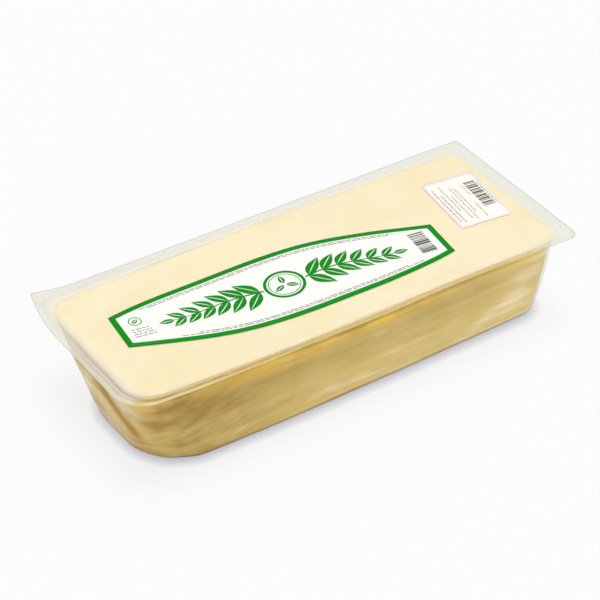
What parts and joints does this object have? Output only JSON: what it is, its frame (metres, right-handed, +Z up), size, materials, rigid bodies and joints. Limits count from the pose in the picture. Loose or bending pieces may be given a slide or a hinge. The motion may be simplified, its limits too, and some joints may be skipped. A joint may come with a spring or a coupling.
{
  "type": "packed mozzarella cheese block",
  "caption": "Long block of mozzarella sealed in a clear thermoformed film pack with a flat rim, a bow-sided printed label and a weight sticker.",
  "frame": {"origin": "on the surface the pack lies on, under the middle of its rim", "axes": "+X along the block towards the sticker end, +Y towards the back, +Z up through the lid"},
  "size_m": [0.355, 0.143, 0.0724],
  "materials": {
    "cheese": "smooth moist cream-coloured cheese, softly translucent",
    "clear_film": "clear glossy multilayer packing film with faint forming wrinkles",
    "label_print": "white printed film with a green border and a green leaf ornament",
    "sticker_paper": "white coated thermal paper with grey printed bars"
  },
  "bodies": {
    "root": {"cheese_block": "cheese", "pocket_film": "clear_film", "rim_film": "clear_film", "lid_film": "clear_film", "label": "label_print", "weight_sticker": "sticker_paper"}
  },
  "joints": []
}
